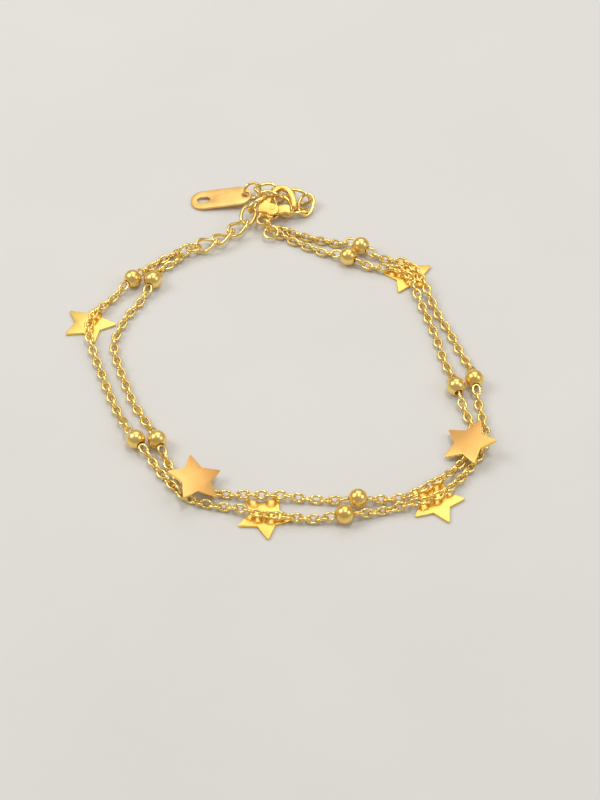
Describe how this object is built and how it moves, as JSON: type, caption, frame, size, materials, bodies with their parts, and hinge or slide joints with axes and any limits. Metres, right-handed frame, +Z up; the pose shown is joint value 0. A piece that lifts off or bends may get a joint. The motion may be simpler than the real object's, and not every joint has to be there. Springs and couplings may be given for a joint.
{
  "type": "two-strand star bracelet",
  "caption": "Two-strand fine chain bracelet with round beads and flat star pendants, with an extender chain, an oval tag and a lobster clasp.",
  "frame": {"origin": "middle of the bracelet's outline, on the surface it lies on", "axes": "+Z up from the surface, +Y towards the clasp, +X to the right seen with the clasp at the far side"},
  "size_m": [0.0693, 0.0771, 0.0041],
  "materials": {
    "chain_gold": "bright gold-coloured plating on fine wire links",
    "bead_gold": "polished gold-coloured plating",
    "star_gold": "mirror-polished gold-coloured plating with fine scratches",
    "clasp_gold": "polished gold-coloured plating",
    "tag_gold": "brushed gold-coloured plating"
  },
  "bodies": {
    "bracelet": {"chain_outer_1": "chain_gold", "chain_outer_2": "chain_gold", "chain_outer_3": "chain_gold", "chain_outer_4": "chain_gold", "chain_inner_1": "chain_gold", "chain_inner_2": "chain_gold", "chain_inner_3": "chain_gold", "chain_inner_4": "chain_gold", "bead_outer_1": "bead_gold", "bead_outer_2": "bead_gold", "bead_outer_3": "bead_gold", "bead_outer_4": "bead_gold", "bead_outer_5": "bead_gold", "bead_inner_1": "bead_gold", "bead_inner_2": "bead_gold", "bead_inner_3": "bead_gold", "bead_inner_4": "bead_gold", "bead_inner_5": "bead_gold", "star_1": "star_gold", "star_2": "star_gold", "star_3": "star_gold", "star_4": "star_gold", "star_5": "star_gold", "star_6": "star_gold", "join_ring": "chain_gold", "extender_ring": "chain_gold", "extender_link_1": "chain_gold", "extender_link_2": "chain_gold", "extender_link_3": "chain_gold", "extender_link_4": "chain_gold", "extender_link_5": "chain_gold", "extender_link_6": "chain_gold", "extender_link_7": "chain_gold", "extender_link_8": "chain_gold", "extender_link_9": "chain_gold", "extender_link_10": "chain_gold", "extender_link_11": "chain_gold", "extender_link_12": "chain_gold", "tag_ring": "chain_gold", "tag": "tag_gold", "clasp_body": "clasp_gold", "clasp_ring": "chain_gold", "strand_ring": "chain_gold"},
    "lever": {"clasp_lever": "clasp_gold"}
  },
  "joints": [
    {"name": "lever_hinge", "type": "hinge", "parent": "bracelet", "child": "lever", "pos_m": [-0.00053, 0.03074, 0.00208], "axis": [-0.0661, -0.1418, 0.9877], "range_deg": [0, 25], "stiffness_Nm_per_rad": 0.002}
  ]
}
